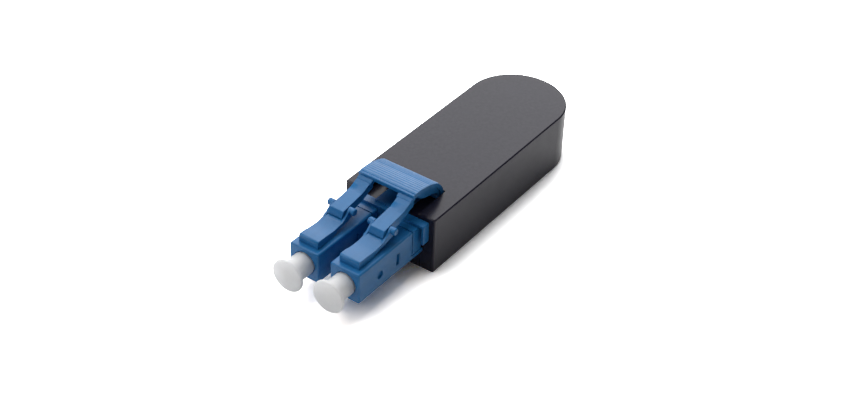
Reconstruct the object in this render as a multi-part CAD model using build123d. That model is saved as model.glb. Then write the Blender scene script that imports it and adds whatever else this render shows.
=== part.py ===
from build123d import *
from math import acos, atan2, cos, degrees, radians, sin
import os

# Duplex fibre loopback: two plugs side by side, clipped to the front of a stadium-shaped housing.
# Frame: the origin lies midway between the two ferrule axes, in the plane of the plugs' front faces.
# +Y runs back into the housing, +X to the right plug, +Z up. All lengths are millimetres.

# Plug interface
plug_pitch = 6.25
plug_size = 4.42
plug_body_length = 10.6
plug_edge_radius = 0.16
plug_front_chamfer = 0.14
ferrule_diameter = 1.25
ferrule_length = 6.5
ferrule_reach = 1.8
ferrule_float = 0.6
ferrule_chamfer = 0.3
fibre_bore = 0.126

# Inside of each plug
nose_bore = 3.0
nose_depth = 2.2
web_thickness = 0.6
web_bore = 1.9
spring_cavity = 3.2
flange_across_flats = 2.6
flange_thickness = 2.0
flange_chamfer = 0.3
holder_tube_diameter = 1.7
holder_tube_length = 6.4
buffer_bore = 1.1
spring_wire = 0.26
spring_outer = 2.6
spring_turns = 3.5
stop_engagement = 1.8
sole_thickness = 0.6
sole_length = 2.35

# Latch on top of each plug
latch_width = 2.95
latch_front = 0.85
latch_block_height = 1.09
latch_dip = 0.2
latch_nose_radius = 0.3
knuckle_radius = 0.38
latch_hinge_y = 3.75
latch_hinge_rise = 0.44
latch_tail_y = 7.6
latch_tail_rise = 0.05
latch_contact_rise = 1.245
latch_floor_thickness = 0.35
rail_width = 0.3
rail_depth = 0.49
rail_crown_angle = 148
rail_foot_angle = 252
rail_grip = 0.94
ear_span = 4.15
ear_radius = 0.48
ear_y = 7.45
ear_rise = 1.89

# Trigger and clip
arm_tip_y = 6.0
arm_tip_gap = 0.08
arm_tip_height = 0.95
arm_tip_lean = 0.33
arm_knee_y = 10.35
arm_knee_drop = 1.36
arm_depth = 1.36
arm_edge_radius = 0.12
arm_bend_radius = 2.5
arm_under_lead = 1.2
pad_width = 8.5
pad_front_y = 12.1
pad_front_rise = 4.18
pad_lip_rise = 5.5
pad_rear_fall = 25
pad_wall = 0.55
lip_bead_radius = 0.14
lip_bead_height = 0.03

# Underside of each arm: distance behind the pad's lip, distance below it and the corner's radius
arm_heel = (-0.35, 1.89, 0.2)
arm_heel_back = (0.2, 1.74, 0.2)
lip_pocket = (0.4, 0.77, 0.2)
rib_front = (1.1, 0.92, 0.5)
rib_middle = (2.4, 1.78, 0.8)
rib_rear_lead = 1.15
rib_rear_drop = 2.68
rib_rear_radius = 0.4

# Trigger root, ridges and clip
pad_root_width = 7.9
trigger_pivot_y = 18.35
trigger_pivot_drop = 0.75
trigger_knuckle = 0.45
cradle_wall = 0.32
cradle_open = 0.35
ridge_pitch = 0.43
ridge_side = 0.13
ridge_count = 12
ridge_start = 0.75
ridge_turn = 45
clip_thickness = 1.2
clip_side_inset = 0.85
clip_top_drop = 0.5
clip_foot_z = -0.4
clip_corner_radius = 0.2
tongue_drop = 0.55
tongue_thickness = 0.7
tongue_width = 4.0

# Rear body behind each plug's seam
rear_block_width = 4.2
rear_block_top = 2.1
rear_edge_radius = 0.22
neck_width = 3.4
neck_height = 2.8
collar_width = 4.4
collar_roof_gap = 0.1
collar_thickness = 1.0

# Housing
housing_front = 13.05
housing_width = 13.9
housing_length = 35.6
housing_height = 8.2
axis_share = 0.59756098
side_wall = 1.2
top_wall = 1.0
rim_width = 0.7
base_thickness = 1.0
housing_edge_radius = 0.25
housing_top_chamfer = 0.2
notch_side_gap = 0.12
notch_rear_gap = 0.1
root_gap = 0.15
pocket_floor = 0.5
pocket_wall = 0.5

# Base cover
guide_front = 27.0
guide_wall = 0.6
guide_height = 4.8
rib_thickness = 0.8
rib_side_gap = 0.5
tab_width = 3.0
tab_thickness = 0.7
tab_height = 3.1
tab_places = (24.0, 38.0)
catch_reach = 0.25
catch_height = 0.8
catch_lip = 0.2
catch_share = 0.72
catch_gap = 0.05

# Fibre
buffer_diameter = 0.9
buffer_clearance = 0.1
buffer_facets = 6
fibre_start_y = 6.2
fibre_flare_y = 19.0
flare_radius = 8.0

# Dust cap
cap_stem_radius = 1.55
cap_disc_radius = 2.25
cap_disc_thickness = 0.5
cap_reach = 3.3
cap_rim_chamfer = 0.13
cap_flare = 0.3
cap_tube_length = 2.0
cap_tube_gap = 0.1
cap_bore_gap = 0.035
cap_tip_room = 0.3

# Clearances
running_gap = 0.03
slip_gap = 0.05
seat_gap = 0.02
seam_gap = 0.08
glue_gap = 0.005

# Overlap of forms that are moulded as one, and how far a cut runs past the faces it opens
weld_depth = 0.2
cut_room = 1.0

# Values that follow from the sizes above
plug_top = plug_size / 2
seam_y = plug_body_length + seam_gap
flange_front = nose_depth + web_thickness + seat_gap
flange_rear = flange_front + flange_thickness
holder_end = flange_rear + holder_tube_length
stop_y = plug_body_length - stop_engagement
clip_front = housing_front - clip_thickness
wall_inner_y = housing_front + side_wall
collar_front = wall_inner_y + slip_gap
collar_rear = collar_front + collar_thickness
axis_height = housing_height * axis_share
housing_top = housing_height - axis_height
housing_base = -axis_height
clip_width = housing_width - 2 * clip_side_inset
clip_top_z = housing_top - clip_top_drop
tongue_top_z = housing_top - tongue_drop
notch_low = tongue_top_z - tongue_thickness - slip_gap
notch_rear = trigger_pivot_y + trigger_knuckle + notch_rear_gap
pocket_low = notch_low - pocket_floor
collar_half = pocket_low - collar_roof_gap
trigger_pivot_z = housing_top - trigger_pivot_drop
cradle_top_z = trigger_pivot_z - cradle_open
cradle_seat = trigger_knuckle + running_gap
cradle_radius = cradle_seat + cradle_wall
arc_centre_y = housing_front + housing_length - housing_width / 2
latch_hinge_z = plug_top + latch_hinge_rise
latch_contact_z = plug_top + latch_contact_rise
pad_front_z = plug_top + pad_front_rise
arm_width = latch_width - 2 * rail_width - 4 * running_gap
loop_radius = housing_width / 2 - side_wall - buffer_clearance - buffer_diameter / 2
sides = {"left": -1, "right": 1}


def from_side(outline, width, centre_x=0):
    """Extrude an outline drawn in Y and Z to a width centred on centre_x."""
    plane = Plane.YZ.offset(centre_x)
    return extrude(plane * outline, amount=width / 2, both=True)


def block(low, high):
    """A box between two opposite corners."""
    size = [high[i] - low[i] for i in range(3)]
    middle = [(high[i] + low[i]) / 2 for i in range(3)]
    return Pos(*middle) * Box(*size)


def rod(radius, start, end, x=0, z=0):
    """A cylinder along Y between two values of y."""
    return Pos(x, (start + end) / 2, z) * Rot(90, 0, 0) * Cylinder(radius, end - start)


def cross_rod(radius, width, y, z, centre_x=0):
    """A cylinder along X, centred on centre_x."""
    return Pos(centre_x, y, z) * Rot(0, 90, 0) * Cylinder(radius, width)


def turned(profile):
    """Revolve an outline, given as points of radius and y, about the Y axis."""
    outline = make_face(Polyline(*profile, close=True))
    return revolve(outline, Axis.Y)


def plug_body():
    """Square plug housing with its nose recess, spring cavity and the root block of the latch."""
    body = block((-plug_top, 0, -plug_top), (plug_top, plug_body_length, plug_top))
    sole_end = plug_body_length + sole_length
    body += block(
        (-plug_top, plug_body_length - sole_thickness, -plug_top),
        (plug_top, sole_end, -plug_top + sole_thickness),
    )
    body = fillet(body.edges().filter_by(Axis.Y), plug_edge_radius)
    body = chamfer(body.faces().sort_by(Axis.Y)[0].edges(), plug_front_chamfer)
    body += latch_root()
    body -= rod(nose_bore / 2, -cut_room, nose_depth)
    body -= rod(web_bore / 2, -cut_room, plug_body_length)
    body -= rod(spring_cavity / 2, nose_depth + web_thickness, sole_end + cut_room)
    return body


def latch_root():
    """The block on top of the plug that the latch arm bends from, with a round seat at the flexure."""
    block_top = plug_top + latch_block_height
    foot = plug_top - plug_edge_radius
    outline = make_face(
        Polyline(
            (latch_front, foot),
            (latch_front, block_top),
            (latch_hinge_y, block_top - latch_dip),
            (latch_hinge_y, foot),
            close=True,
        )
    )
    nose = outline.vertices().sort_by(Axis.X)[0:2].sort_by(Axis.Y)[-1]
    outline = fillet(nose, latch_nose_radius)
    root = from_side(outline, latch_width)
    seat = cross_rod(knuckle_radius + running_gap, latch_width + cut_room, latch_hinge_y, latch_hinge_z)
    return root - seat


def latch():
    """Free arm of the latch: a tongue that the trigger presses, two side rails and their ears."""
    root_top = plug_top + latch_block_height - latch_dip
    start = (latch_hinge_y + running_gap, root_top)
    contact = (arm_tip_y, latch_contact_z)
    tail = (latch_tail_y, latch_contact_z + latch_tail_rise)
    under_root = (latch_hinge_y + running_gap, latch_hinge_z - knuckle_radius)
    tongue = make_face(
        [
            Spline(start, contact, tail, tangents=[(1, 0), (1, 0)]),
            Polyline(tail, (latch_tail_y, tail[1] - latch_floor_thickness), under_root, start),
        ]
    )
    arm = from_side(tongue, latch_width - 2 * rail_width)
    arm += cross_rod(knuckle_radius, latch_width, latch_hinge_y, latch_hinge_z)
    ear_z = plug_top + ear_rise
    crown = Vector(rail_grip * ear_radius, 0).rotate(Axis.Z, rail_crown_angle)
    foot = Vector(rail_grip * ear_radius, 0).rotate(Axis.Z, rail_foot_angle)
    rail = make_face(
        Polyline(
            start,
            contact,
            (ear_y + crown.X, ear_z + crown.Y),
            (ear_y, ear_z),
            (ear_y + foot.X, ear_z + foot.Y),
            (arm_tip_y, latch_contact_z - rail_depth),
            under_root,
            close=True,
        )
    )
    for hand in (-1, 1):
        rail_x = hand * (latch_width - rail_width) / 2
        arm += from_side(rail, rail_width, rail_x)
        ear_width = (ear_span - latch_width) / 2 + rail_width
        arm += cross_rod(ear_radius, ear_width, ear_y, ear_z, hand * (ear_span - ear_width) / 2)
    return arm


def rear_body():
    """Rear half of a plug: the spring stop, the block behind the seam and the collar in the housing."""
    half = rear_block_width / 2
    sole_top = -plug_top + sole_thickness + slip_gap
    body = block((-half, seam_y, sole_top), (half, clip_front - slip_gap, rear_block_top))
    body = fillet(body.edges().filter_by(Axis.Y).group_by(Axis.Z)[-1], rear_edge_radius)
    body += rod(spring_cavity / 2 - slip_gap, stop_y, seam_y + weld_depth)
    body += block(
        (-neck_width / 2, clip_front - slip_gap - weld_depth, -neck_height / 2),
        (neck_width / 2, collar_front, neck_height / 2),
    )
    body += block(
        (-collar_width / 2, collar_front, -collar_half),
        (collar_width / 2, collar_rear, collar_half),
    )
    body -= rod(web_bore / 2, stop_y - cut_room, holder_end + 2 * ferrule_float)
    body -= rod(buffer_bore / 2, stop_y, collar_rear + cut_room)
    return body


def ferrule():
    """Ceramic ferrule with its fibre bore and a chamfered tip."""
    radius = ferrule_diameter / 2
    bore = fibre_bore / 2
    tip = -ferrule_reach
    back = tip + ferrule_length
    return turned(
        [
            (bore, tip),
            (radius - ferrule_chamfer / 2, tip),
            (radius, tip + ferrule_chamfer),
            (radius, back),
            (bore, back),
        ]
    )


def ferrule_holder():
    """Hexagonal flange and tube that carry the ferrule and lead the buffered fibre in."""
    hexagon = RegularPolygon(flange_across_flats / 2, 6, major_radius=False)
    flange = extrude(Plane.XZ.offset(-flange_rear) * hexagon, amount=flange_thickness)
    lead = flange.faces().sort_by(Axis.Y)[0].edges()
    holder = chamfer(lead, flange_chamfer)
    holder += rod(holder_tube_diameter / 2, flange_rear, holder_end)
    ferrule_back = ferrule_length - ferrule_reach
    holder -= rod(ferrule_diameter / 2 + glue_gap, flange_front - cut_room, ferrule_back + seat_gap)
    holder -= rod(buffer_bore / 2, ferrule_back, holder_end + cut_room)
    return holder


def ferrule_spring():
    """Square-wire compression spring between the flange and the rear body's stop."""
    mean_radius = (spring_outer - spring_wire) / 2
    low = flange_rear + spring_wire / 2 + seat_gap
    high = stop_y - spring_wire / 2 - seat_gap
    height = high - low
    coil = Helix(
        pitch=height / spring_turns,
        height=height,
        radius=mean_radius,
        center=(0, low, 0),
        direction=(0, 1, 0),
    )
    section = Plane(origin=coil @ 0, z_dir=coil % 0) * Rectangle(spring_wire, spring_wire)
    return sweep(section, path=coil, is_frenet=True)


def dust_cap():
    """Push-on cap: a tube in the plug's nose, a stem and a flared grip disc."""
    bore = ferrule_diameter / 2 + cap_bore_gap
    bore_end = -ferrule_reach - cap_tip_room
    disc_back = -cap_reach + cap_disc_thickness
    tube = nose_bore / 2 - cap_tube_gap
    return turned(
        [
            (0, bore_end),
            (bore, bore_end),
            (bore, cap_tube_length),
            (tube, cap_tube_length),
            (tube, -seat_gap),
            (cap_stem_radius, -seat_gap),
            (cap_stem_radius, disc_back + cap_flare),
            (cap_stem_radius + cap_flare, disc_back),
            (cap_disc_radius, disc_back),
            (cap_disc_radius, -cap_reach + cap_rim_chamfer),
            (cap_disc_radius - cap_rim_chamfer, -cap_reach),
            (0, -cap_reach),
        ]
    )


def pad_line():
    """Upper edge of the pad in Y and Z: a wide crown and the tighter bend down to the trigger's root."""
    lift = radians(pad_lip_rise)
    fall = radians(pad_rear_fall)
    # Two tangent arcs span the pad, and the second ends upright over the back of the knuckle.
    across = trigger_pivot_y + trigger_knuckle - pad_front_y
    down = pad_front_z - trigger_pivot_z
    crown_across = sin(lift) + sin(fall)
    crown_down = cos(lift) - cos(fall)
    bend_across = 1 - sin(fall)
    bend_down = cos(fall)
    shared = crown_across * bend_down - bend_across * crown_down
    crown_radius = (across * bend_down - bend_across * down) / shared
    bend_radius = (crown_across * down - across * crown_down) / shared
    heading = (cos(lift), sin(lift))
    crown = JernArc((pad_front_y, pad_front_z), heading, crown_radius, -pad_lip_rise - pad_rear_fall)
    bend = JernArc(crown @ 1, crown % 1, bend_radius, pad_rear_fall - 90)
    return crown, bend


def pad_section():
    """Section of the pad's wall with the bead on its front lip and its grip ridges."""
    crown, bend = pad_line()
    inward = (crown % 0).rotate(Axis.Z, -90)
    turn = -pad_lip_rise - pad_rear_fall
    inner_crown = JernArc(crown @ 0 + inward * pad_wall, crown % 0, crown.radius - pad_wall, turn)
    inner_bend = JernArc(inner_crown @ 1, crown % 1, bend.radius - pad_wall, pad_rear_fall - 90)
    wall = make_face(
        [
            crown,
            bend,
            Line(bend @ 1, inner_bend @ 1),
            inner_bend,
            inner_crown,
            Line(inner_crown @ 0, crown @ 0),
        ]
    )
    bead = crown @ (lip_bead_radius / crown.length) + inward * (lip_bead_radius - lip_bead_height)
    wall += Pos(bead.X, bead.Y) * Circle(lip_bead_radius)
    for index in range(ridge_count):
        along = ridge_start + index * ridge_pitch
        if along < crown.length:
            line = crown
            share = along / crown.length
        else:
            line = bend
            share = (along - crown.length) / bend.length
        centre = line @ share
        heading = line % share
        lean = degrees(atan2(heading.Y, heading.X))
        wall += Pos(centre.X, centre.Y) * Rot(0, 0, ridge_turn + lean) * Rectangle(ridge_side, ridge_side)
    return wall


def arm_section():
    """Side profile of one arm: the tip over the latch, the rise to the pad and the rib under it."""
    crown, bend = pad_line()
    tip_z = latch_contact_z + arm_tip_gap
    knee = (arm_knee_y, pad_front_z - arm_knee_drop)
    under_lip = (pad_front_y + pad_wall, pad_front_z - pad_wall / 2)
    root_front = (trigger_pivot_y - trigger_knuckle, tongue_top_z + root_gap)
    upper = FilletPolyline(
        (arm_tip_y, tip_z),
        (arm_tip_y + arm_tip_lean, tip_z + arm_tip_height),
        knee,
        under_lip,
        radius=(arm_edge_radius, arm_bend_radius),
    )
    corners = (arm_heel, arm_heel_back, lip_pocket, rib_front, rib_middle)
    lower = FilletPolyline(
        (arm_tip_y, tip_z),
        (arm_knee_y - arm_under_lead, knee[1] - arm_depth),
        *[(pad_front_y + back, pad_front_z - drop) for back, drop, radius in corners],
        (trigger_pivot_y - rib_rear_lead, pad_front_z - rib_rear_drop),
        root_front,
        radius=(arm_bend_radius, *[radius for back, drop, radius in corners], rib_rear_radius),
    )
    outline = [upper, Line(under_lip, crown @ 1), bend, Line(bend @ 1, root_front), lower]
    return make_face(outline)


def trigger():
    """Ridged pad on two arms, which turns about the knuckle at its rear root."""
    pad = from_side(pad_section(), pad_width)
    for side in sides.values():
        pad += from_side(arm_section(), arm_width, side * plug_pitch / 2)
    pad += cross_rod(trigger_knuckle, pad_root_width, trigger_pivot_y, trigger_pivot_z)
    return pad


def duplex_clip():
    """Saddle over both necks, with the tongue that carries the trigger's root."""
    saddle = block(
        (-clip_width / 2, clip_front, clip_foot_z),
        (clip_width / 2, housing_front - seat_gap, clip_top_z),
    )
    saddle = fillet(saddle.edges().filter_by(Axis.Y).group_by(Axis.Z)[-1], clip_corner_radius)
    for side in sides.values():
        x = side * plug_pitch / 2
        half = neck_width / 2 + slip_gap
        saddle -= block(
            (x - half, clip_front - cut_room, clip_foot_z - cut_room),
            (x + half, housing_front + cut_room, neck_height / 2 + slip_gap),
        )
    tongue_low = tongue_top_z - tongue_thickness
    tongue = block(
        (-tongue_width / 2, clip_front + clip_thickness / 2, tongue_low),
        (tongue_width / 2, trigger_pivot_y - trigger_knuckle, tongue_top_z),
    )
    cradle = cross_rod(cradle_radius, tongue_width, trigger_pivot_y, trigger_pivot_z)
    keep = cradle_radius + cut_room
    cradle &= block(
        (-tongue_width / 2, trigger_pivot_y - keep, trigger_pivot_z - keep),
        (tongue_width / 2, trigger_pivot_y + keep, cradle_top_z),
    )
    clip = saddle + tongue + cradle
    clip -= cross_rod(cradle_seat, tongue_width + cut_room, trigger_pivot_y, trigger_pivot_z)
    return clip


def stadium(inset, front):
    """Plan outline of the housing, pulled in by inset, from a straight front edge."""
    half = housing_width / 2 - inset
    strip = Pos(0, (front + arc_centre_y) / 2) * Rectangle(2 * half, arc_centre_y - front)
    return strip + Pos(0, arc_centre_y) * Circle(half)


def upper_shell():
    """Moulded housing, open below, with neck slots in the front wall and the trigger's pocket."""
    shell = Pos(0, 0, housing_base) * extrude(stadium(0, housing_front), amount=housing_height)
    corners = shell.edges().filter_by(Axis.Z).group_by(Axis.Y)[0]
    shell = fillet(corners, housing_edge_radius)
    shell = chamfer(shell.faces().sort_by(Axis.Z)[-1].edges(), housing_top_chamfer)
    cavity = stadium(side_wall, wall_inner_y)
    shell -= Pos(0, 0, housing_base) * extrude(cavity, amount=housing_height - top_wall)
    mouth = stadium(rim_width, housing_front + rim_width)
    shell -= Pos(0, 0, housing_base) * extrude(mouth, amount=base_thickness)
    notch_half = pad_width / 2 + notch_side_gap
    shell += block(
        (-notch_half - pocket_wall, wall_inner_y - weld_depth, pocket_low),
        (notch_half + pocket_wall, notch_rear + pocket_wall, housing_top - top_wall + weld_depth),
    )
    shell -= block(
        (-notch_half, housing_front - cut_room, notch_low),
        (notch_half, notch_rear, housing_top + cut_room),
    )
    # The cradle hangs below the pocket's floor, in an opening of its own.
    cradle_half = tongue_width / 2 + slip_gap
    shell -= block(
        (-cradle_half, trigger_pivot_y - cradle_radius - slip_gap, pocket_low - cut_room),
        (cradle_half, trigger_pivot_y + cradle_radius + slip_gap, cradle_top_z + slip_gap),
    )
    for side in sides.values():
        x = side * plug_pitch / 2
        half = neck_width / 2 + slip_gap
        shell -= block(
            (x - half, housing_front - cut_room, housing_base - cut_room),
            (x + half, wall_inner_y + cut_room, neck_height / 2 + slip_gap),
        )
    for hand in (-1, 1):
        for place in tab_places:
            shell -= catch(hand, place, catch_gap)
    return shell


def catch(hand, place, grow):
    """Wedge on a snap tab, or with grow its pocket in the shell's wall."""
    inner = housing_width / 2 - side_wall - slip_gap
    middle = housing_base + base_thickness + tab_height * catch_share
    low = middle - catch_height / 2 - grow
    high = middle + catch_height / 2 + grow
    reach = inner + catch_reach + grow
    outline = make_face(
        Polyline(
            (inner - weld_depth, low),
            (reach, low),
            (reach, low + catch_lip + grow),
            (inner, high),
            (inner - weld_depth, high),
            close=True,
        )
    )
    wedge = extrude(Plane.XZ * outline, amount=tab_width / 2 + grow, both=True)
    if hand < 0:
        wedge = mirror(wedge, about=Plane.YZ)
    return Pos(0, place, 0) * wedge


def base_cover():
    """Underside plate with snap tabs, the fibre's guide wall and the bars that close the neck slots."""
    plate = stadium(rim_width + slip_gap, housing_front + rim_width + slip_gap)
    cover = Pos(0, 0, housing_base) * extrude(plate, amount=base_thickness - slip_gap)
    plate_top = housing_base + base_thickness - slip_gap
    guide_half = loop_radius - buffer_diameter / 2 - buffer_clearance
    guide_inset = housing_width / 2 - guide_half
    ring = stadium(guide_inset, guide_front)
    ring -= stadium(guide_inset + guide_wall, guide_front + guide_wall)
    wall = extrude(ring, amount=guide_height)
    wall = fillet(wall.edges().filter_by(Axis.Z).group_by(Axis.Y)[0], guide_wall)
    cover += Pos(0, 0, plate_top) * wall
    tab_outer = housing_width / 2 - side_wall - slip_gap
    for hand in (-1, 1):
        for place in tab_places:
            ends = sorted((hand * (tab_outer - tab_thickness), hand * tab_outer))
            cover += block(
                (ends[0], place - tab_width / 2, plate_top - weld_depth),
                (ends[1], place + tab_width / 2, plate_top + tab_height),
            )
            cover += catch(hand, place, 0)
    rib_front_y = collar_rear + slip_gap
    rib_half = housing_width / 2 - side_wall - rib_side_gap
    cover += block(
        (-rib_half, rib_front_y, plate_top - weld_depth),
        (rib_half, rib_front_y + rib_thickness, collar_half),
    )
    for side in sides.values():
        x = side * plug_pitch / 2
        groove = buffer_diameter / 2 + buffer_clearance
        cover -= block(
            (x - groove, rib_front_y - cut_room, -groove),
            (x + groove, rib_front_y + rib_thickness + cut_room, collar_half + cut_room),
        )
        half = neck_width / 2
        cover += block(
            (x - half, housing_front, housing_base),
            (x + half, wall_inner_y, -neck_height / 2 - slip_gap),
        )
    return cover


def fibre_loop():
    """One buffered fibre: straight out of each plug, flared to the walls and round the rear end."""
    shift = loop_radius - plug_pitch / 2
    turn = degrees(acos(1 - shift / (2 * flare_radius)))
    lead = Line((plug_pitch / 2, fibre_start_y), (plug_pitch / 2, fibre_flare_y))
    outward = JernArc(lead @ 1, lead % 1, flare_radius, -turn)
    onward = JernArc(outward @ 1, outward % 1, flare_radius, turn)
    side_run = Line(onward @ 1, (loop_radius, arc_centre_y))
    around = JernArc(side_run @ 1, side_run % 1, loop_radius, 180)
    side_back = Line(around @ 1, (-loop_radius, (onward @ 1).Y))
    inward = JernArc(side_back @ 1, side_back % 1, flare_radius, turn)
    homeward = JernArc(inward @ 1, inward % 1, flare_radius, -turn)
    lead_back = Line(homeward @ 1, (-plug_pitch / 2, fibre_start_y))
    route = Wire([lead, outward, onward, side_run, around, side_back, inward, homeward, lead_back])
    facets = RegularPolygon(buffer_diameter / 2, buffer_facets, major_radius=False)
    section = Plane(origin=lead @ 0, z_dir=lead % 0) * facets
    return sweep(section, path=route)


def save(node, shape):
    export_step(shape, "parts/" + node + ".step")


def main():
    os.makedirs("parts", exist_ok=True)
    save("upper_shell", upper_shell())
    save("base_cover", base_cover())
    save("fibre_loop", fibre_loop())
    save("duplex_clip", duplex_clip())
    save("trigger", trigger())
    for name, side in sides.items():
        place = Pos(side * plug_pitch / 2, 0, 0)
        save("plug_body_" + name, place * plug_body())
        save("latch_" + name, place * latch())
        save("rear_body_" + name, place * rear_body())
        save("ferrule_" + name, place * ferrule())
        save("ferrule_holder_" + name, place * ferrule_holder())
        save("ferrule_spring_" + name, place * ferrule_spring())
        save("dust_cap_" + name, place * dust_cap())


main()
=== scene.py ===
from math import cos, pi, radians, sin

import bmesh
import bpy
from mathutils import Matrix, Vector


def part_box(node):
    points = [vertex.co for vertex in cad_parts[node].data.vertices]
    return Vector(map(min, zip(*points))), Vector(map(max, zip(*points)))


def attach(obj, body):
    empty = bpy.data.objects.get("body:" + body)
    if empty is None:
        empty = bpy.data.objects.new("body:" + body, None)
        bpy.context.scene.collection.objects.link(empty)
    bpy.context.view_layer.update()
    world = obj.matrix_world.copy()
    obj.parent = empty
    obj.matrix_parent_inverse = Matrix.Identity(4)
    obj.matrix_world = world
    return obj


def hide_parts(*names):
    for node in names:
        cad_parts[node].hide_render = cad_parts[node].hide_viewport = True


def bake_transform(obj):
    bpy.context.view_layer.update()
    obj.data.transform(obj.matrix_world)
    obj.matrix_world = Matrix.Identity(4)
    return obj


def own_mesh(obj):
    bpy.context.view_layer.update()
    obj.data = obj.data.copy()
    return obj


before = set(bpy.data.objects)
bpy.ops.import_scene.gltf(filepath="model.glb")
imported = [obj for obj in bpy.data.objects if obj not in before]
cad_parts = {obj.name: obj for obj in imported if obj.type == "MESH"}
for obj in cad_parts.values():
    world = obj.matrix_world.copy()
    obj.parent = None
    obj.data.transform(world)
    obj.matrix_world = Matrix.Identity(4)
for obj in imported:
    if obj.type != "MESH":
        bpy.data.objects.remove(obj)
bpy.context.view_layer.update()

# A fibre loopback: two latching plugs side by side, clipped to a stadium-shaped housing.
# Sizes are typed in millimetres and multiplied by MM where they meet Blender. The origin lies
# midway between the two ferrule axes at the plugs' front faces. +Y runs back into the housing,
# +X to the right plug and +Z up.
MM = 0.001

PLUG_X = 3.125
HOUSING_FRONT = 13.05
HOUSING_REAR = 48.65
HOUSING_HALF = 6.95
HOUSING_TOP = 3.3
FLOOR_Z = -4.9

# The room that housing and clip leave for the neck of each plug
NECK_ROOM_HALF = 1.75
NECK_ROOM_TOP = 1.45

# The pin that the trigger turns about, as (y, z)
TRIGGER_PIN = (18.35, 2.55)

# How far a cutting shape stands past what it cuts
PAST = 1

# An edge runs along an axis where this share of its direction does, and lies in a face where
# it is this near to it
ALONG = 0.9
NEAR = 0.01

# Distances under which points become one, in metres
SAME_POINT = 1e-7
CUT_SCRAP = 2e-7
BEVEL_SCRAP = 1e-6

# Where the lamps aim and the floor has its middle, in metres
STAGE_Y = 0.02


# Working in edit mode

def put_down():
    """Leaves edit mode and lets go of everything."""
    if bpy.context.object and bpy.context.object.mode != "OBJECT":
        bpy.ops.object.mode_set(mode="OBJECT")
    bpy.ops.object.select_all(action="DESELECT")


def take(piece):
    """Makes one piece the active and only selected one."""
    put_down()
    piece.select_set(True)
    bpy.context.view_layer.objects.active = piece
    return piece


def edit(piece):
    """Opens one piece in edit mode with nothing in it selected."""
    take(piece)
    bpy.ops.object.mode_set(mode="EDIT")
    bpy.ops.mesh.select_all(action="DESELECT")


def select_whole():
    bpy.ops.mesh.select_all(action="SELECT")


def settle(name):
    """Names the active object and moves its place and size into its mesh."""
    piece = bpy.context.object
    piece.name = name
    piece.data.name = name
    bpy.ops.object.transform_apply(location=True, rotation=True, scale=True)
    return piece


def pick_edges(piece, test):
    """Selects the edges whose middle and direction pass a test."""
    bpy.ops.mesh.select_all(action="DESELECT")
    bpy.ops.mesh.select_mode(type="EDGE")
    mesh = bmesh.from_edit_mesh(piece.data)
    for edge in mesh.edges:
        a, b = (v.co / MM for v in edge.verts)
        edge.select_set(bool(test((a + b) / 2, (b - a).normalized())))
    bmesh.update_edit_mesh(piece.data)


def round_edges(radius, steps):
    """Rounds the selected edges."""
    bpy.ops.mesh.bevel(
        offset=radius * MM, offset_pct=0, segments=steps, affect="EDGES", clamp_overlap=False,
    )


def slab(name, low, high):
    """A block between two opposite corners, ready to be shaped."""
    put_down()
    middle = [(a + b) / 2 * MM for a, b in zip(low, high)]
    bpy.ops.mesh.primitive_cube_add(size=1, location=middle)
    bpy.context.object.scale = [(b - a) * MM for a, b in zip(low, high)]
    return settle(name)


def cross_pin(name, radius, width, y, z, x=0.0, steps=32):
    """A round pin along X, ready to be joined or cut out."""
    put_down()
    bpy.ops.mesh.primitive_cylinder_add(
        vertices=steps, radius=radius * MM, depth=width * MM, rotation=(0, pi / 2, 0),
        location=(x * MM, y * MM, z * MM),
    )
    return settle(name)


def start_line(name, x, y, z):
    """A piece of a single selected point, left in edit mode for a line to be drawn from it."""
    put_down()
    bpy.ops.mesh.primitive_plane_add(size=MM, location=(x * MM, y * MM, z * MM))
    piece = settle(name)
    bpy.ops.object.mode_set(mode="EDIT")
    bpy.ops.mesh.select_mode(type="VERT")
    select_whole()
    bpy.ops.mesh.merge(type="CENTER")
    return piece


def traced(name, outline, width, x=0.0):
    """Draws a closed outline of (y, z) points, fills it and pulls it to its width along X."""
    piece = start_line(name, x - width / 2, *outline[0])
    for here, there in zip(outline, outline[1:] + outline[:1]):
        step = (0, (there[0] - here[0]) * MM, (there[1] - here[1]) * MM)
        bpy.ops.mesh.extrude_region_move(TRANSFORM_OT_translate={"value": step})
    select_whole()
    bpy.ops.mesh.remove_doubles(threshold=SAME_POINT)
    bpy.ops.mesh.edge_face_add()
    bpy.ops.mesh.extrude_region_move(TRANSFORM_OT_translate={"value": (width * MM, 0, 0)})
    select_whole()
    bpy.ops.mesh.normals_make_consistent(inside=False)
    put_down()
    return piece


def turned(name, outline, x, steps):
    """Draws a line of (radius, y) points from axis to axis and spins it about that axis."""
    radius, y = outline[0]
    piece = start_line(name, x + radius, y, 0)
    for here, there in zip(outline, outline[1:]):
        step = ((there[0] - here[0]) * MM, (there[1] - here[1]) * MM, 0)
        bpy.ops.mesh.extrude_region_move(TRANSFORM_OT_translate={"value": step})
    select_whole()
    bpy.ops.mesh.spin(steps=steps, angle=2 * pi, center=(x * MM, 0, 0), axis=(0, 1, 0))
    select_whole()
    bpy.ops.mesh.remove_doubles(threshold=SAME_POINT)
    select_whole()
    bpy.ops.mesh.normals_make_consistent(inside=False)
    put_down()
    return piece


def combine(piece, other, how):
    """Joins another shape to a piece, or cuts it out, and throws the other away."""
    take(piece)
    bpy.ops.object.modifier_add(type="BOOLEAN")
    tool = piece.modifiers[-1]
    tool.operation = how
    tool.solver = "EXACT"
    tool.object = other
    bpy.ops.object.modifier_apply(modifier=tool.name)
    take(other)
    bpy.ops.object.delete()
    return take(piece)


def weld(piece, *others):
    for other in others:
        combine(piece, other, "UNION")
    return piece


def cut(piece, *others):
    for other in others:
        combine(piece, other, "DIFFERENCE")
    return piece


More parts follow.
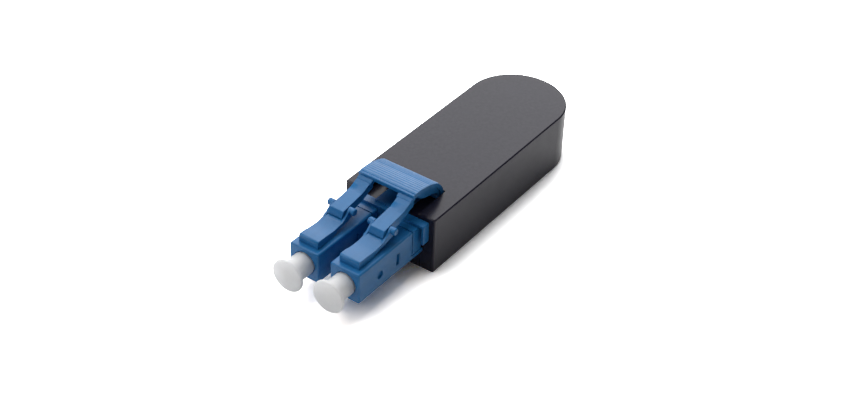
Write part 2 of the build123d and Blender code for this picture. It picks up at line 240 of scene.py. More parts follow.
def clean_flats(piece):
    """Removes the leftover edges inside flat faces."""
    flat = radians(0.4)
    edit(piece)
    select_whole()
    bpy.ops.mesh.remove_doubles(threshold=CUT_SCRAP)
    bpy.ops.mesh.dissolve_limited(angle_limit=flat)
    put_down()


def soften(piece, radius, angle=50):
    """Breaks the edges that turn by more than an angle, as a mould does."""
    take(piece)
    bpy.ops.object.modifier_add(type="BEVEL")
    bevel = piece.modifiers[-1]
    bevel.width = radius * MM
    bevel.segments = 2
    bevel.limit_method = "ANGLE"
    bevel.angle_limit = radians(angle)
    bevel.use_clamp_overlap = True
    bpy.ops.object.modifier_apply(modifier=bevel.name)
    edit(piece)
    select_whole()
    bpy.ops.mesh.remove_doubles(threshold=BEVEL_SCRAP)
    bpy.ops.mesh.dissolve_degenerate(threshold=BEVEL_SCRAP)
    put_down()
    return piece


def polish(piece, angle=38):
    """Smooth shading that keeps flat faces flat."""
    take(piece)
    bpy.ops.object.shade_smooth_by_angle(angle=radians(angle))
    bpy.ops.object.modifier_add(type="WEIGHTED_NORMAL")
    weighted = piece.modifiers[-1]
    weighted.keep_sharp = True
    bpy.ops.object.modifier_apply(modifier=weighted.name)


def pinch(piece, x, factor, test):
    """Narrows a piece about a line at x, where its corner points pass a test."""
    edit(piece)
    bpy.ops.mesh.select_mode(type="VERT")
    mesh = bmesh.from_edit_mesh(piece.data)
    for corner in mesh.verts:
        corner.select_set(bool(test(corner.co / MM)))
    bmesh.update_edit_mesh(piece.data)
    bpy.ops.transform.resize(value=(factor, 1, 1), center_override=(x * MM, 0, 0))
    put_down()


def copy_to_left(piece, name):
    """Copies a piece of the right plug, with its own mesh, to the left plug."""
    take(piece)
    bpy.ops.object.duplicate(linked=False)
    bpy.ops.transform.translate(value=(-2 * PLUG_X * MM, 0, 0))
    return settle(name)


def arc(centre, radius, first, last, steps):
    """Points on a round corner, at angles in degrees from the first axis towards the second."""
    turns = [radians(first + (last - first) * i / steps) for i in range(steps + 1)]
    return [(centre[0] + radius * cos(t), centre[1] + radius * sin(t)) for t in turns]


def flow(points):
    """A smooth line through a few points, for the drawn-out curves of a moulding."""
    steps = 4
    ends = [points[0]] + points + [points[-1]]
    line = []
    for i in range(1, len(ends) - 2):
        a, b, c, d = ends[i - 1], ends[i], ends[i + 1], ends[i + 2]
        for s in range(steps):
            t = s / steps
            line.append(tuple(
                0.5 * (2 * q + (r - p) * t + (2 * p - 5 * q + 4 * r - w) * t * t
                       + (3 * q - p - 3 * r + w) * t ** 3)
                for p, q, r, w in zip(a, b, c, d)
            ))
    return line + [points[-1]]


# Finishes

def new_material(name):
    material = bpy.data.materials.new(name)
    material.use_nodes = True
    nodes = material.node_tree.nodes
    return material, nodes, material.node_tree.links, nodes["Principled BSDF"]


def own_place(nodes, links, stretch=(1, 1, 1), turn=0.0):
    """The piece's own coordinates, stretched and turned in degrees about Z."""
    place = nodes.new("ShaderNodeTexCoord")
    mapping = nodes.new("ShaderNodeMapping")
    mapping.inputs["Scale"].default_value = stretch
    mapping.inputs["Rotation"].default_value = (0, 0, radians(turn))
    links.new(place.outputs["Object"], mapping.inputs["Vector"])
    return mapping.outputs["Vector"]


def spots(nodes, links, size, detail, stretch=(1, 1, 1)):
    """Noise on the piece's own coordinates, with features about size millimetres across."""
    noise = nodes.new("ShaderNodeTexNoise")
    noise.inputs["Scale"].default_value = 1 / (size * MM)
    noise.inputs["Detail"].default_value = detail
    noise.inputs["Roughness"].default_value = 0.55
    links.new(own_place(nodes, links, stretch), noise.inputs["Vector"])
    return noise.outputs["Fac"]


def spread(nodes, links, value, low, high, start=0.3, end=0.7):
    """Maps the part of a value from start to end onto the numbers from low to high."""
    scale = nodes.new("ShaderNodeMapRange")
    scale.inputs["From Min"].default_value = start
    scale.inputs["From Max"].default_value = end
    scale.inputs["To Min"].default_value = low
    scale.inputs["To Max"].default_value = high
    links.new(value, scale.inputs["Value"])
    return scale.outputs["Result"]


def tints(nodes, links, value, first, last, start=0.3, end=0.7):
    """Runs from one colour to another while a value goes from start to end."""
    ramp = nodes.new("ShaderNodeValToRGB")
    ends = ramp.color_ramp.elements
    for element, position, colour in ((ends[0], start, first), (ends[1], end, last)):
        element.position = position
        element.color = (*colour, 1)
    links.new(value, ramp.inputs["Fac"])
    return ramp.outputs["Color"]


def blend_colour(nodes, links, amount, first, second):
    """Mixes two colours, each given as a colour or as another node's output."""
    mix = nodes.new("ShaderNodeMix")
    mix.data_type = "RGBA"
    links.new(amount, mix.inputs["Factor"])
    for socket, colour in (("A", first), ("B", second)):
        if isinstance(colour, tuple):
            mix.inputs[socket].default_value = (*colour, 1)
        else:
            links.new(colour, mix.inputs[socket])
    return mix.outputs["Result"]


def relief(nodes, links, shader, layers):
    """Stacks bumps, each given as a height output and its depth in millimetres."""
    below = None
    for height, depth in layers:
        bump = nodes.new("ShaderNodeBump")
        bump.inputs["Strength"].default_value = 1.0
        bump.inputs["Distance"].default_value = depth * MM
        links.new(height, bump.inputs["Height"])
        if below is not None:
            links.new(below, bump.inputs["Normal"])
        below = bump.outputs["Normal"]
    links.new(below, shader.inputs["Normal"])


def scuffs(nodes, links, size, width, stretch, turn):
    """Thin rub marks: the edges between long cells, thinned out by a wide noise."""
    cells = nodes.new("ShaderNodeTexVoronoi")
    cells.feature = "DISTANCE_TO_EDGE"
    cells.inputs["Scale"].default_value = 1 / (size * MM)
    links.new(own_place(nodes, links, stretch, turn), cells.inputs["Vector"])
    line = spread(nodes, links, cells.outputs["Distance"], low=1, high=0, start=0, end=width)
    patches = spots(nodes, links, size=size * 2.2, detail=2)
    where = spread(nodes, links, patches, low=0, high=1, start=0.55, end=0.72)
    both = nodes.new("ShaderNodeMath")
    both.operation = "MULTIPLY"
    links.new(line, both.inputs[0])
    links.new(where, both.inputs[1])
    return both.outputs["Value"]


def blue_plug_plastic():
    """Satin blue of the plugs: an even moulding with faint flow marks and a spark-eroded skin."""
    material, nodes, links, shader = new_material("blue plug plastic")
    wide = spots(nodes, links, size=5.0, detail=2)
    drawn = spots(nodes, links, size=0.5, detail=3, stretch=(1, 0.12, 1))
    base = tints(nodes, links, wide, (0.012, 0.146, 0.375), (0.016, 0.172, 0.44))
    streak = tints(nodes, links, drawn, (0.010, 0.135, 0.355), (0.019, 0.182, 0.46))
    patches = spots(nodes, links, size=2.0, detail=2)
    faint = spread(nodes, links, patches, low=0.15, high=0.4)
    links.new(blend_colour(nodes, links, faint, base, streak), shader.inputs["Base Color"])
    uneven = spots(nodes, links, size=1.3, detail=2)
    gloss = spread(nodes, links, uneven, low=0.29, high=0.36)
    links.new(gloss, shader.inputs["Roughness"])
    shader.inputs["Specular IOR Level"].default_value = 0.36
    skin = spots(nodes, links, size=0.09, detail=2)
    relief(nodes, links, shader, [(drawn, 0.008), (skin, 0.002)])
    return material


def black_housing_plastic():
    """Satin black of the housing: fine moulded grain, a mauve bloom and a few rub marks."""
    material, nodes, links, shader = new_material("black housing plastic")
    wide = spots(nodes, links, size=9.0, detail=3)
    fine = spots(nodes, links, size=0.45, detail=4)
    base = tints(nodes, links, wide, (0.016, 0.014, 0.027), (0.020, 0.018, 0.034))
    speck = tints(nodes, links, fine, (0.013, 0.012, 0.022), (0.027, 0.025, 0.040), start=0.35)
    patches = spots(nodes, links, size=3.0, detail=2)
    faint = spread(nodes, links, patches, low=0.2, high=0.5)
    plain = blend_colour(nodes, links, faint, base, speck)
    rubbed = scuffs(nodes, links, size=3.2, width=0.018, stretch=(1, 0.35, 1), turn=24)
    paler = tints(nodes, links, wide, (0.040, 0.039, 0.044), (0.050, 0.049, 0.054))
    wear = spread(nodes, links, rubbed, low=0, high=0.08, start=0, end=1)
    links.new(blend_colour(nodes, links, wear, plain, paler), shader.inputs["Base Color"])
    uneven = spots(nodes, links, size=2.2, detail=2)
    gloss = spread(nodes, links, uneven, low=0.21, high=0.27)
    links.new(gloss, shader.inputs["Roughness"])
    shader.inputs["Specular IOR Level"].default_value = 0.24
    grain = spots(nodes, links, size=0.16, detail=3)
    relief(nodes, links, shader, [(grain, 0.004), (fine, 0.003)])
    return material


def white_cap_plastic():
    """Soft milky plastic of the dust caps, which lets a little light through."""
    material, nodes, links, shader = new_material("milky cap plastic")
    cloudy = spots(nodes, links, size=1.4, detail=4)
    colour = tints(nodes, links, cloudy, (0.84, 0.84, 0.85), (0.89, 0.89, 0.9))
    links.new(colour, shader.inputs["Base Color"])
    uneven = spots(nodes, links, size=0.6, detail=3)
    gloss = spread(nodes, links, uneven, low=0.38, high=0.52)
    links.new(gloss, shader.inputs["Roughness"])
    shader.inputs["Subsurface Weight"].default_value = 0.85
    shader.inputs["Subsurface Radius"].default_value = (1.0, 1.0, 1.05)
    shader.inputs["Subsurface Scale"].default_value = 2.4 * MM
    skin = spots(nodes, links, size=0.12, detail=2)
    relief(nodes, links, shader, [(cloudy, 0.01), (skin, 0.004)])
    return material


def plain_finish(name, noise, colours, gloss, depth, metallic=0.0, relief_noise=None):
    """A finish whose colour and gloss follow one noise, and whose relief may follow another."""
    material, nodes, links, shader = new_material(name)
    shade = spots(nodes, links, *noise)
    links.new(tints(nodes, links, shade, *colours), shader.inputs["Base Color"])
    links.new(spread(nodes, links, shade, *gloss), shader.inputs["Roughness"])
    shader.inputs["Metallic"].default_value = metallic
    grain = spots(nodes, links, *relief_noise) if relief_noise else shade
    relief(nodes, links, shader, [(grain, depth)])
    return material


def ferrule_ceramic():
    """Polished zirconia: warm white, nearly smooth, with faint grinding rings."""
    return plain_finish(
        "ferrule ceramic", noise=(0.8, 3), colours=((0.70, 0.69, 0.66), (0.78, 0.77, 0.745)),
        gloss=(0.12, 0.22), depth=0.002, relief_noise=(0.9, 2, (1, 14, 1)),
    )


def flange_nickel():
    """Nickel-plated brass of the flange, turned on a lathe."""
    return plain_finish(
        "nickel flange", noise=(1.2, 3, (1, 18, 1)),
        colours=((0.52, 0.50, 0.46), (0.64, 0.62, 0.58)), gloss=(0.22, 0.36), depth=0.003,
        metallic=1.0,
    )


def spring_wire_steel():
    """Drawn stainless wire with a fine grain."""
    return plain_finish(
        "spring steel", noise=(0.12, 3), colours=((0.42, 0.42, 0.43), (0.55, 0.55, 0.56)),
        gloss=(0.25, 0.4), depth=0.003, metallic=1.0,
    )


def fibre_buffer_yellow():
    """Yellow buffer of the fibre, with the slight ripple of an extruded coat."""
    return plain_finish(
        "yellow fibre buffer", noise=(0.7, 3), colours=((0.62, 0.38, 0.03), (0.72, 0.46, 0.05)),
        gloss=(0.35, 0.5), depth=0.01,
    )


def pale_floor():
    """White sweep, brighter to the camera than to the object, which keeps the object's shadow and
    deepens it with painted shade.
    """
    to_object, to_mirror = (0.8, 0.8, 0.8), (1.35, 1.35, 1.35)
    # Camera colours of the floor in full painted shade and in the open; the front pair is warmer, a
    # painted tint against the blue light that the plugs bounce onto it
    shade_front, shade_rear = (0.53, 0.34, 0.12), (0.45, 0.45, 0.45)
    open_front, open_rear = (4.3, 4.12, 3.94), (4.2, 4.2, 4.2)
    material, nodes, links, shader = new_material("pale floor")
    nodes.remove(shader)
    paper = nodes.new("ShaderNodeBsdfDiffuse")
    links.new(paper.outputs["BSDF"], nodes["Material Output"].inputs["Surface"])
    rays = nodes.new("ShaderNodeLightPath")

    # Painted contact shadow: to the camera the floor's colour darkens close to the object
    near = nodes.new("ShaderNodeAmbientOcclusion")
    near.samples = 6
    near.inputs["Distance"].default_value = 4.5 * MM
    clear = spread(nodes, links, near.outputs["AO"], low=0, high=1, start=0.25, end=0.92)

    # Painted tint: to the camera the floor is warmer in front of the housing, which cancels the
    # blue light that the plugs bounce onto it
    axes = nodes.new("ShaderNodeSeparateXYZ")
    links.new(own_place(nodes, links), axes.inputs["Vector"])
    rear = spread(nodes, links, axes.outputs["Y"], low=0, high=1, start=11 * MM, end=15 * MM)
    shade = blend_colour(nodes, links, rear, shade_front, shade_rear)
    sweep = blend_colour(nodes, links, rear, open_front, open_rear)
    white = blend_colour(nodes, links, clear, shade, sweep)
    unseen = blend_colour(nodes, links, rays.outputs["Is Glossy Ray"], to_object, to_mirror)
    colour = blend_colour(nodes, links, rays.outputs["Is Camera Ray"], unseen, white)
    links.new(colour, paper.inputs["Color"])
    return material


def dress(piece, material, node, body=None):
    """Gives a piece its finish, hides the CAD node that it stands for and hangs it on the body it
    moves with.
    """
    piece.data.materials.clear()
    piece.data.materials.append(material)
    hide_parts(node)
    if body:
        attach(piece, body)


# Housing

def round_rear(piece, half, rear, steps):
    """Turns the rear end of a block into a half circle, with a hair between its two rounds."""
    hair = 0.0005
    pick_edges(piece, lambda m, d: abs(d.z) > ALONG and m.y > rear - NEAR)
    round_edges(half - hair, steps)


def housing_room(name, wall, ceiling):
    """A space inside the housing, open below, a wall's thickness away from its outside."""
    half, rear = HOUSING_HALF - wall, HOUSING_REAR - wall
    room = slab(name, (-half, HOUSING_FRONT + wall, FLOOR_Z - PAST), (half, rear, ceiling))
    edit(room)
    round_rear(room, half, rear, steps=24)
    put_down()
    return room


def make_housing(material):
    """Stadium-shaped moulding, hollow and open below, with the trigger's notch and neck slots."""
    front, rear, half, top = HOUSING_FRONT, HOUSING_REAR, HOUSING_HALF, HOUSING_TOP
    wall, roof, rim_wall, rim_height = 1.2, 1.0, 0.7, 1.0
    corner_round, top_chamfer = 0.18, 0.15
    notch_half, notch_rear, notch_floor, notch_wall, overlap = 4.37, 18.9, 2.0, 0.5, 0.1
    cradle_half, cradle_front, cradle_rear, cradle_top = 2.05, 17.5, 19.2, 2.25
    catch_places, catch_half, catch_low, catch_high = (24.0, 38.0), 1.55, -2.12, -1.22
    catch_inner, catch_outer = half - 1.35, half - 0.9

    shell = slab("housing_shell", (-half, front, FLOOR_Z), (half, rear, top))
    edit(shell)
    round_rear(shell, half, rear, steps=40)
    select_whole()
    bpy.ops.mesh.remove_doubles(threshold=NEAR * MM)
    pick_edges(shell, lambda m, d: abs(d.z) > ALONG and m.y < front + NEAR)
    round_edges(corner_round, steps=3)
    pick_edges(shell, lambda m, d: m.z > top - NEAR)
    round_edges(top_chamfer, steps=1)
    put_down()

    hollow = housing_room("hollow", wall, top - roof)
    mouth = housing_room("mouth", rim_wall, FLOOR_Z + rim_height)
    cut(shell, hollow, mouth)
    pocket_half = notch_half + notch_wall
    weld(shell, slab(
        "pocket", (-pocket_half, front + wall - overlap, notch_floor - notch_wall),
        (pocket_half, notch_rear + notch_wall, top - roof + overlap),
    ))
    cut(shell, slab(
        "notch", (-notch_half, front - PAST, notch_floor), (notch_half, notch_rear, top + PAST),
    ))
    cut(shell, slab(
        "cradle_room", (-cradle_half, cradle_front, notch_floor - PAST),
        (cradle_half, cradle_rear, cradle_top),
    ))
    for side in (-1, 1):
        x = side * PLUG_X
        cut(shell, slab(
            "neck_slot", (x - NECK_ROOM_HALF, front - PAST, FLOOR_Z - PAST),
            (x + NECK_ROOM_HALF, front + wall + NEAR, NECK_ROOM_TOP),
        ))
        low, high = sorted((side * catch_inner, side * catch_outer))
        for y in catch_places:
            cut(shell, slab(
                "catch_pocket", (low, y - catch_half, catch_low),
                (high, y + catch_half, catch_high),
            ))
    clean_flats(shell)
    soften(shell, radius=0.04, angle=60)
    polish(shell)
    dress(shell, material, "upper_shell", "housing")


# Plugs

def make_plug_body(material):
    """Square plug housing with its nose recess, spring cavity, sole and two marks on each side."""
    x, half = PLUG_X, 2.21
    edge_round, front_round = 0.27, 0.18
    seam, sole_rear, sole_height = 10.6, 12.9, 0.66
    mark_depth, bar_low, bar_high = 0.34, (7.4, -0.98), (8.02, 0.72)

    body = slab("plug_housing_right", (x - half, 0, -half), (x + half, sole_rear, half))
    edit(body)
    pick_edges(body, lambda m, d: abs(d.y) > ALONG)
    round_edges(edge_round, steps=5)
    pick_edges(body, lambda m, d: m.y < NEAR)
    round_edges(front_round, steps=4)
    put_down()
    cut(body, slab(
        "above_sole", (x - half - PAST, seam, -half + sole_height),
        (x + half + PAST, sole_rear + PAST, half + PAST),
    ))
    bore = turned("bore", [
        (0, -1), (1.66, -1), (1.66, 0.0), (1.5, 0.14), (1.5, 2.2), (0.95, 2.2),
        (0.95, 2.8), (1.6, 2.8), (1.6, 12.5), (0, 12.5),
    ], x, steps=48)
    cut(body, bore)
    for side in (-1, 1):
        face = x + side * half
        low, high = sorted((face - side * mark_depth, face + side * PAST))
        cut(body, slab("bar_mark", (low, *bar_low), (high, *bar_high)))
        cut(body, cross_pin("dimple", radius=0.56, width=0.6, y=4.15, z=-0.25, x=face, steps=24))
    clean_flats(body)
    soften(body, radius=0.035)
    polish(body)
    other = copy_to_left(body, "plug_housing_left")
    dress(body, material, "plug_body_right", "housing")
    dress(other, material, "plug_body_left", "housing")


def make_latch(material):
    """Latch as one moulding: root, narrowed neck, floor under the trigger's tip, rails and ears."""
    x = PLUG_X
    width, neck_share = 2.95, 0.955
    rail_width, rail_x = 0.33, 1.31
    ear_place, ear_radius, ear_width, ear_x, ear_round = (7.45, 4.12), 0.48, 0.93, 1.61, 0.18
    hinge_z, bend_start, bend_end = 2.65, 2.9, 4.6

    nose = arc((1.15, 3.0), radius=0.3, first=180, last=90, steps=5)
    top = flow([
        (2.0, 3.25), (3.1, 3.14), (4.1, 3.10), (5.0, 3.20), (5.8, 3.38), (6.6, 3.46), (7.6, 3.5),
    ])
    under = flow([(7.6, 3.155), (6.2, 2.9), (5.0, 2.62), (4.3, 2.42), (3.9, 2.2)])
    outline = [(0.85, 1.95)] + nose + top + under + [(3.8, 1.95)]
    latch = traced("latch_right_moulding", outline, width, x)
    pinch(latch, x, neck_share, lambda p: 2.4 < p.y < 5.6)
    soften(latch, radius=0.06)

    rise = flow([(5.0, 3.12), (5.6, 3.37), (6.1, 3.62), (6.55, 3.95), (6.9, 4.3), (7.08, 4.47)])
    crown = arc(ear_place, radius=0.44, first=130, last=-60, steps=9)
    fall = flow([(7.6, 3.68), (7.3, 3.42), (6.6, 3.1), (5.8, 2.84), (5.2, 2.7)])
    ears = []
    for side in (-1, 1):
        rail = traced("rail", rise + crown + fall, rail_width, x + side * rail_x)
        pinch(rail, x, neck_share, lambda p: p.y < 5.5)
        weld(latch, soften(rail, radius=0.04))
        ear = cross_pin("ear", ear_radius, ear_width, *ear_place, x + side * ear_x)
        end = x + side * (ear_x + ear_width / 2)
        edit(ear)
        pick_edges(ear, lambda m, d, end=end: abs(m.x - end) < NEAR)
        round_edges(ear_round, steps=4)
        put_down()
        ears.append(ear)
    weld(latch, *ears)
    clean_flats(latch)
    polish(latch, angle=34)
    other = copy_to_left(latch, "latch_left_moulding")
    for piece, name, place in ((latch, "latch_right", x), (other, "latch_left", -x)):
        dress(piece, material, name)
        start, end = ((place * MM, y * MM, hinge_z * MM) for y in (bend_start, bend_end))
        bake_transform(piece)


def make_rear_body(material):
    """Rear half behind the seam: spring stop, block, neck and the collar inside the housing."""
    x = PLUG_X
    block_half, block_low, block_front, block_rear, block_round = 2.17, -1.46, 10.82, 12.55, 0.16
    neck_half, collar_half, reach = 1.7, 2.2, 1.4
    neck_front, collar_front, collar_rear = 11.4, 14.3, 15.3

    body = slab(
        "plug_rear_right", (x - block_half, block_front, block_low),
        (x + block_half, block_rear, block_half),
    )
    edit(body)
    pick_edges(body, lambda m, d: abs(d.y) > ALONG and m.z > block_half - NEAR)
    round_edges(block_round, steps=4)
    put_down()
    neck = slab("neck", (x - neck_half, neck_front, -reach), (x + neck_half, collar_front, reach))
    collar = slab(
        "collar", (x - collar_half, collar_front, -reach), (x + collar_half, collar_rear, reach),
    )
    stop = turned("stop", [(0, 8.8), (1.55, 8.8), (1.55, 11.15), (0, 11.15)], x, steps=40)
    weld(body, neck, collar, stop)
    bore = turned("bore", [
        (0, 8), (0.95, 8), (0.95, 12.42), (0.55, 12.42), (0.55, 16), (0, 16),
    ], x, steps=40)
    cut(body, bore)
    clean_flats(body)
    soften(body, radius=0.035)
    polish(body)
    other = copy_to_left(body, "plug_rear_left")
    dress(body, material, "rear_body_right", "housing")
    dress(other, material, "rear_body_left", "housing")


def make_dust_cap(material):
    """Push-on cap: tube, stem with a concave flare, and a round grip disc with a soft rim."""
    tube = [
        (0, -2.1), (0.66, -2.1), (0.66, 1.9), (0.76, 2.0), (1.3, 2.0), (1.4, 1.9), (1.4, -0.02),
        (1.48, -0.02), (1.55, -0.09),
    ]
    flare = arc((1.93, -2.42), radius=0.38, first=-180, last=-90, steps=6)
    rim = arc((2.09, -2.96), radius=0.16, first=90, last=0, steps=3)
    rim += arc((2.09, -3.14), radius=0.16, first=0, last=-90, steps=3)
    face = [(1.2, -3.3), (0.5, -3.3), (0, -3.3)]
    outline = tube + flare + [(2.0, -2.8)] + rim + face
    cap = turned("dust_cap_right_moulding", outline, PLUG_X, steps=72)
    polish(cap, angle=50)
    other = copy_to_left(cap, "dust_cap_left_moulding")
    dress(cap, material, "dust_cap_right", "dust_cap_right")
    dress(other, material, "dust_cap_left", "dust_cap_left")


def make_spring(material):
    """Round-wire coil spring behind each ferrule, wound over the length of the CAD spring."""
    wire, coil, turns, travel = 0.13, 1.17, 3.5, 0.6
    steps_round_wire, steps_along_wire = 12, 112
    low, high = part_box("ferrule_spring_right")
    front, rear = low[1] / MM, high[1] / MM
    put_down()
    bpy.ops.mesh.primitive_circle_add(
        vertices=steps_round_wire, radius=wire * MM, location=(coil * MM, 0, 0),
    )
    spring = settle("ferrule_coil_right")
    bpy.ops.object.modifier_add(type="SCREW")
    winding = spring.modifiers[-1]
    winding.axis = "Y"
    winding.angle = 2 * pi * turns
    winding.screw_offset = (rear - front - 2 * wire) * MM
    winding.steps = winding.render_steps = steps_along_wire
    bpy.ops.object.modifier_apply(modifier=winding.name)
    edit(spring)
    select_whole()
    bpy.ops.mesh.fill_holes(sides=0)
    select_whole()
    bpy.ops.mesh.normals_make_consistent(inside=False)
    bpy.ops.transform.translate(value=(PLUG_X * MM, (front + wire) * MM, 0))
    put_down()
    polish(spring, angle=50)
    other = copy_to_left(spring, "ferrule_coil_left")
    for piece, side, x in ((spring, "right", PLUG_X), (other, "left", -PLUG_X)):
        dress(piece, material, "ferrule_spring_" + side, "housing")
        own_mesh(piece)


# Clip and trigger

def make_clip(material):
    """Saddle over both necks, its tongue in the notch and the open cradle of the trigger."""
    half, front, rear, low, top, top_round = 6.1, 11.85, 13.03, -0.2, 2.6, 0.2
    room_half, room_rear, room_top, side_wall = 2.2, 12.6, 2.25, 0.28
    tongue_half, tongue_front, tongue_rear, tongue_low, tongue_top = 2, 12.66, 17.9, 2.05, 2.75
    cradle_radius, pin_room = 0.8, 0.48

    clip = slab("plug_clip", (-half, front, low), (half, rear, top))
    edit(clip)
    pick_edges(clip, lambda m, d: abs(d.y) > ALONG and m.z > top - NEAR)
    round_edges(top_round, steps=4)
    put_down()
    for side in (-1, 1):
        x = side * PLUG_X
        cut(clip, slab(
            "neck_gap", (x - NECK_ROOM_HALF, front - PAST, low - PAST),
            (x + NECK_ROOM_HALF, rear + PAST, NECK_ROOM_TOP),
        ))
        first, last = sorted((side * (PLUG_X - room_half), side * (half - side_wall)))
        cut(clip, slab(
            "block_room", (first, front - PAST, low - PAST), (last, room_rear, room_top),
        ))
    tongue = slab(
        "tongue", (-tongue_half, tongue_front, tongue_low), (tongue_half, tongue_rear, tongue_top),
    )
    outside = arc(TRIGGER_PIN, cradle_radius, first=206, last=334, steps=12)
    inside = arc(TRIGGER_PIN, pin_room, first=313, last=227, steps=10)
    cradle = traced("cradle", outside + inside, 2 * tongue_half)
    weld(clip, tongue, cradle)
    cut(clip, cross_pin("pin_room", pin_room, 2 * (tongue_half + PAST), *TRIGGER_PIN, steps=40))
    clean_flats(clip)
    soften(clip, radius=0.05)
    polish(clip)
    dress(clip, material, "duplex_clip", "housing")


def pad_outline():
    """Side view of the pad: ridged crown, round back, thin wall and the bead on its front lip."""
    crown, crown_radius, crown_start, crown_end = (12.983, -2.781), 9.213, 95.5, 65.0
    bend, bend_radius = (15.469, 2.55), 3.331
    wall = 0.55
    ridges, first_ridge, ridge_pitch = 12, 0.75, 0.43
    ridge_foot, ridge_top = 0.17, 0.04
    low_ridges, low_lift, high_lift = 7, 0.04, 0.085
    after_ridges, facet, last_facet = 0.35, 0.3, 0.2
    crown_length = crown_radius * radians(crown_start - crown_end)
    reach = crown_length + bend_radius * radians(crown_end)

    def place(s, lift):
        """The point at a distance s along the pad from its front lip, lifted off its surface."""
        if s <= crown_length:
            middle, radius, angle = crown, crown_radius, radians(crown_start) - s / crown_radius
        else:
            middle, radius = bend, bend_radius
            angle = radians(crown_end) - (s - crown_length) / bend_radius
        return (middle[0] + (radius + lift) * cos(angle), middle[1] + (radius + lift) * sin(angle))

    bead = [
        (0.0, -0.1), (0.03, -0.02), (0.1, 0.02), (0.2, 0.02), (0.28, -0.02), (0.32, -0.07),
        (0.42, -0.07), (0.48, 0.0),
    ]
    top = [place(s, lift) for s, lift in bead]
    for i in range(ridges):
        s = first_ridge + i * ridge_pitch
        lift = low_lift if i < low_ridges else high_lift
        top += [place(s - ridge_foot, 0.0), place(s - ridge_top, lift)]
        top += [place(s + ridge_top, lift), place(s + ridge_foot, 0.0)]
    s = first_ridge + (ridges - 1) * ridge_pitch + after_ridges
    while s < reach - last_facet:
        top.append(place(s, 0.0))
        s += facet
    top.append(place(reach, 0.0))
    inner = arc(bend, bend_radius - wall, first=0, last=crown_end, steps=8)
    inner += arc(crown, crown_radius - wall, first=crown_end + 3, last=crown_start, steps=9)
    return top + inner


def arm_outline():
    """Side view of one arm: tip over the latch, rise to the pad's lip and the heel behind it."""
    upper = [(6.0, 3.62), (6.3, 4.40), (6.42, 4.50)]
    knee = flow([(9.55, 4.92), (10.3, 5.03), (11.1, 5.38), (11.7, 5.65)])
    under = [(12.65, 6.05), (13.3, 6.05), (13.3, 5.75)]
    lower = flow([
        (12.66, 5.62), (12.42, 5.35), (12.36, 4.85), (12.2, 4.62), (11.75, 4.5), (10.6, 4.02),
        (9.15, 3.66), (7.6, 3.6), (6.0, 3.535),
    ])
    return upper + knee + under + lower


def cheek_outline():
    """Side view of the rib that fills the hollow under each end of the pad."""
    roof = [
        (12.5, 6.1), (14.5, 6.2), (16.0, 5.7), (17.6, 4.6), (18.5, 3.3), (18.7, 2.55), (17.95, 2.9),
    ]
    belly = flow([
        (17.5, 3.62), (16.4, 4.05), (15.2, 4.33), (14.3, 4.65), (13.65, 5.13), (13.1, 5.55),
        (12.66, 5.8),
    ])
    return roof + belly


def make_trigger(material):
    """Ridged thumb pad on two arms, which turns about the pin at its rear."""
    pad_width, arm_width, arm_share = 8.5, 2.15, 0.95
    cheek_width, cheek_x = 1.95, 3.025
    shoulder_width, shoulder_x = 2.12, PLUG_X - 0.07
    shoulder_outline = [
        (11.8, 5.2), (11.66, 5.54), (11.72, 5.72), (12.2, 6.0), (12.8, 6.1), (12.6, 5.5),
    ]
    pin_radius, pin_width = 0.45, 7.9

    pad = soften(traced("latch_trigger", pad_outline(), pad_width), radius=0.045)
    for side in (-1, 1):
        arm = traced("arm", arm_outline(), arm_width, side * PLUG_X)
        pinch(arm, side * PLUG_X, arm_share, lambda p: p.y > 9)
        soften(arm, radius=0.06)
        shoulder = traced("shoulder", shoulder_outline, shoulder_width, side * shoulder_x)
        cheek = soften(traced("cheek", cheek_outline(), cheek_width, side * cheek_x), radius=0.05)
        weld(pad, cheek, arm, shoulder)
    weld(pad, cross_pin("pin", pin_radius, pin_width, *TRIGGER_PIN, steps=40))
    clean_flats(pad)
    polish(pad, angle=34)
    dress(pad, material, "trigger", "trigger")


# Stage, lamps and camera

def add_floor(material):
    """The wide flat sweep that the object stands on."""
    put_down()
    bpy.ops.mesh.primitive_plane_add(size=1.6, location=(0, STAGE_Y, FLOOR_Z * MM))
    floor = settle("floor")
    floor.data.materials.append(material)


def soft_lamp(name, place, width, height, radiance):
    """A flat studio lamp that faces the object, with its brightness as seen in a mirror."""
    aim = Vector((0, STAGE_Y, 0))
    put_down()
    bpy.ops.object.light_add(type="AREA", location=place)
    lamp = bpy.context.object
    lamp.name = name
    lamp.data.shape = "RECTANGLE"
    lamp.data.size = width
    lamp.data.size_y = height
    lamp.data.energy = radiance * pi * width * height
    lamp.rotation_mode = "QUATERNION"
    lamp.rotation_quaternion = (aim - Vector(place)).to_track_quat("-Z", "Y")


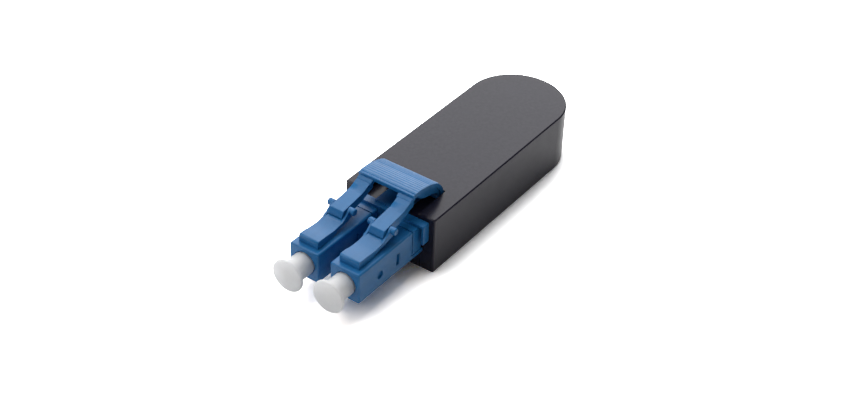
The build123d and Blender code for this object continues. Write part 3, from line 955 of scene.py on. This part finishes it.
def add_lamps():
    """Four soft lamps, and a world that is white to the camera and dim to the object."""
    to_object, to_camera = 0.08, 1.0
    soft_lamp("rear softbox", (-0.36, 0.57, 0.42), width=0.7, height=0.9, radiance=2.7)
    soft_lamp("overhead softbox", (-0.2, 0.02, 0.78), width=0.55, height=0.6, radiance=2.7)
    soft_lamp("left softbox", (-0.62, -0.5, 0.5), width=0.5, height=0.5, radiance=3.3)
    soft_lamp("right fill", (0.42, -0.12, 0.6), width=0.4, height=0.4, radiance=0.5)
    world = bpy.data.worlds.new("white studio")
    bpy.context.scene.world = world
    world.use_nodes = True
    nodes, links = world.node_tree.nodes, world.node_tree.links
    rays = nodes.new("ShaderNodeLightPath")
    choose = nodes.new("ShaderNodeMixShader")
    links.new(rays.outputs["Is Camera Ray"], choose.inputs["Fac"])
    skies = ((nodes["Background"], to_object), (nodes.new("ShaderNodeBackground"), to_camera))
    for place, (sky, strength) in enumerate(skies, start=1):
        sky.inputs["Color"].default_value = (1, 1, 1, 1)
        sky.inputs["Strength"].default_value = strength
        links.new(sky.outputs["Background"], choose.inputs[place])
    links.new(choose.outputs["Shader"], nodes["World Output"].inputs["Surface"])


def add_camera():
    """The photograph's own viewpoint, worked out from the housing's edges in it."""
    azimuth, elevation, roll = radians(34.2880), radians(37.1301), radians(2.4689)
    shift_across, shift_up, distance = 4.92341, 5.91256, 201.89035
    focal_pixels, picture_width, sensor_width = 1580.45465, 854, 36
    back = Vector((
        sin(azimuth) * cos(elevation), -cos(azimuth) * cos(elevation), sin(elevation),
    ))
    right = Vector((cos(azimuth), sin(azimuth), 0))
    up = back.cross(right)
    across = cos(roll) * right + sin(roll) * up
    above = -sin(roll) * right + cos(roll) * up
    foot = Vector((0, HOUSING_FRONT, FLOOR_Z))
    place = foot + shift_across * across + shift_up * above + distance * back
    put_down()
    bpy.ops.object.camera_add()
    camera = bpy.context.object
    camera.name = "photo camera"
    camera.data.sensor_fit = "HORIZONTAL"
    camera.data.sensor_width = sensor_width
    camera.data.lens = focal_pixels * sensor_width / picture_width
    camera.data.clip_start = 0.01
    camera.data.clip_end = 20
    turn = Matrix((across, above, back)).transposed().to_4x4()
    turn.translation = place * MM
    camera.matrix_world = turn
    bpy.context.scene.camera = camera


# The whole scene

def finish_hidden_pieces(black):
    """Gives their finishes to the pieces that are kept from the CAD model."""
    ceramic, nickel = ferrule_ceramic(), flange_nickel()
    finishes = {
        "base_cover": black,
        "fibre_loop": fibre_buffer_yellow(),
        "ferrule_left": ceramic,
        "ferrule_right": ceramic,
        "ferrule_holder_left": nickel,
        "ferrule_holder_right": nickel,
    }
    for name, finish in finishes.items():
        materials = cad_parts[name].data.materials
        materials.clear()
        materials.append(finish)


def main():
    put_down()
    bpy.context.scene.view_settings.view_transform = "Standard"
    blue = blue_plug_plastic()
    black = black_housing_plastic()
    make_housing(black)
    make_plug_body(blue)
    make_rear_body(blue)
    make_latch(blue)
    make_dust_cap(white_cap_plastic())
    make_spring(spring_wire_steel())
    make_clip(blue)
    make_trigger(blue)
    finish_hidden_pieces(black)
    add_floor(pale_floor())
    add_lamps()
    add_camera()


main()
